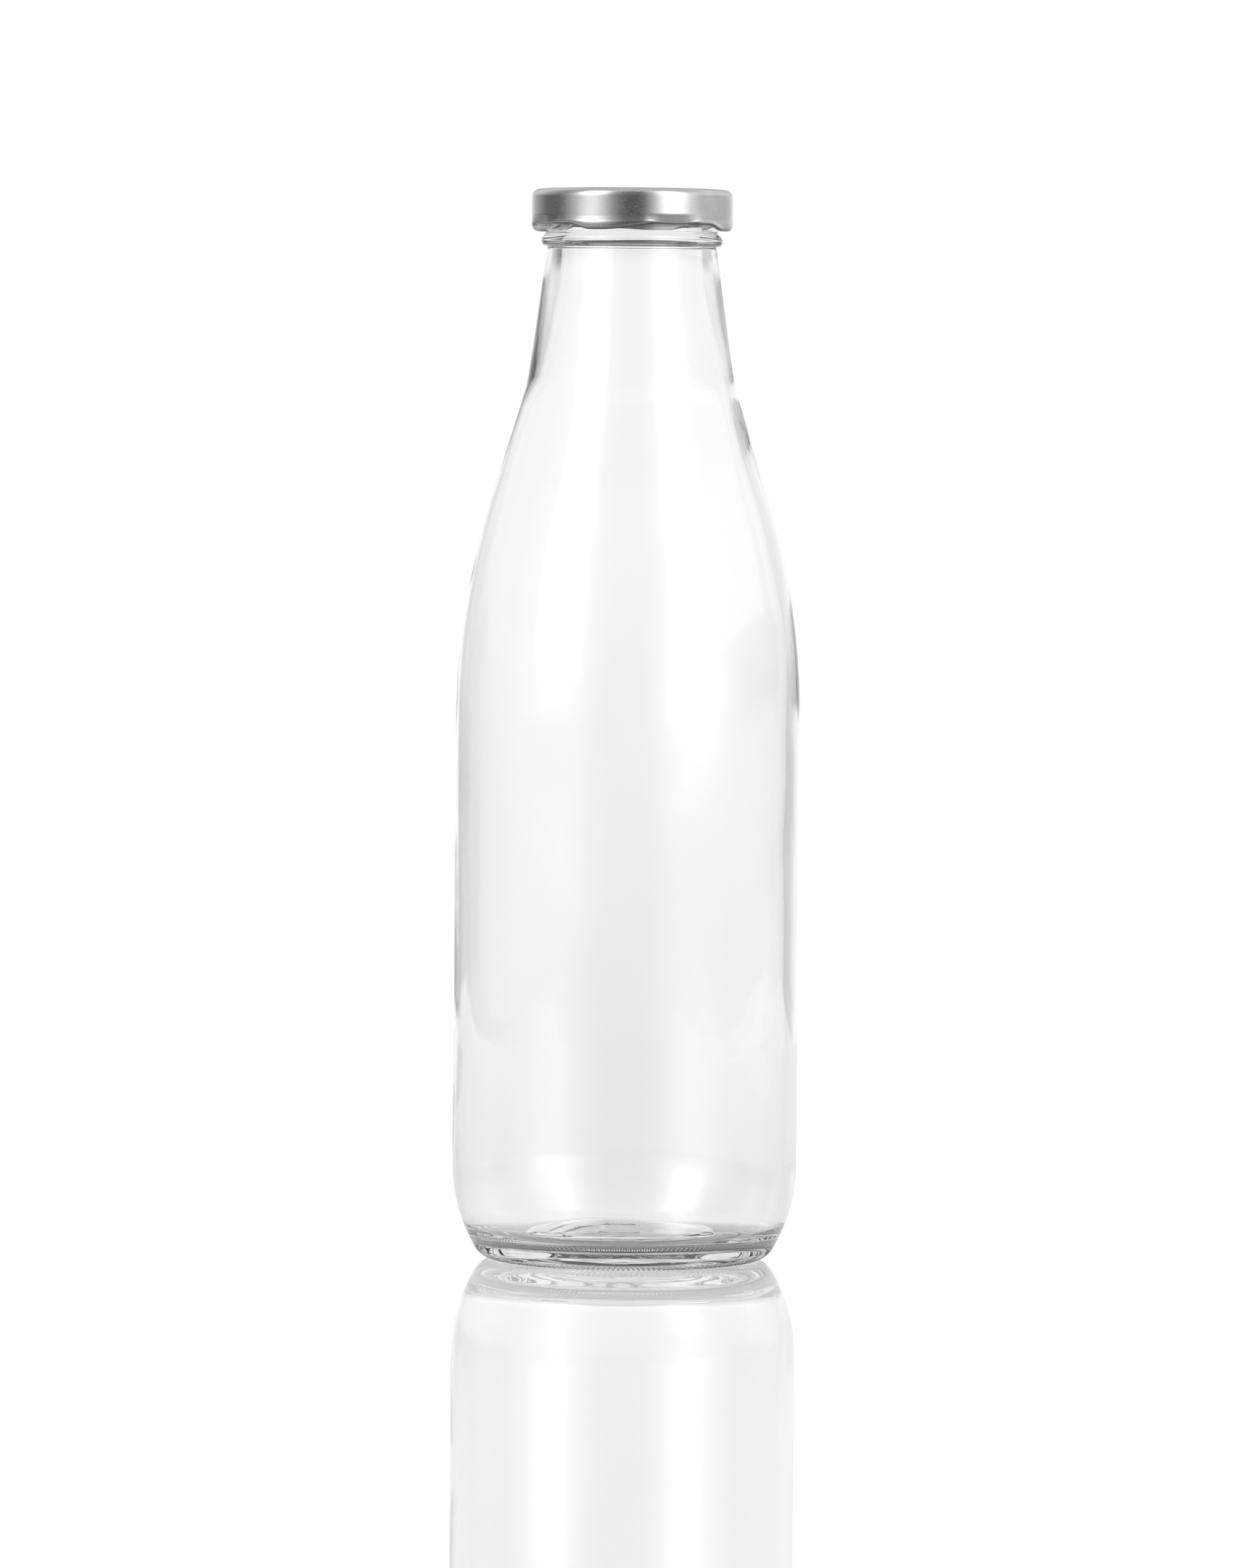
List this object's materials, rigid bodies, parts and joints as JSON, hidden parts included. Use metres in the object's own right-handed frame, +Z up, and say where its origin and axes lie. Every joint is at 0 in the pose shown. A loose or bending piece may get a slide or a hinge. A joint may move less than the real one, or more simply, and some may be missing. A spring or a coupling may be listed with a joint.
{
  "type": "milk bottle",
  "caption": "Tall clear glass milk bottle with a straight body, long sloping shoulder, tapered neck with a bead, and a silver twist-off lug cap.",
  "frame": {"origin": "centre of the plane that the bottle stands on", "axes": "+Z up along the bottle's axis of revolution, -Y towards the front as pictured, +X to the right"},
  "size_m": [0.086, 0.086, 0.267],
  "materials": {
    "clear_glass": "clear flint glass, fire-polished, very slightly wavy",
    "cap_metal": "satin silver lacquer on tinplate",
    "liner_compound": "smooth soft plastisol, off-white"
  },
  "bodies": {
    "bottle": {"glass_bottle": "clear_glass"},
    "liner": {"cap_liner": "liner_compound"},
    "cap": {"cap_shell": "cap_metal"}
  },
  "joints": [
    {"name": "cap_lift", "type": "slide", "parent": "bottle", "child": "liner", "axis": [0, 0, 1], "range_m": [0, 0.04]},
    {"name": "cap_twist", "type": "hinge", "parent": "liner", "child": "cap", "pos_m": [0, 0, 0.2665], "axis": [0, 0, 1], "range_deg": [-55, 0]}
  ]
}
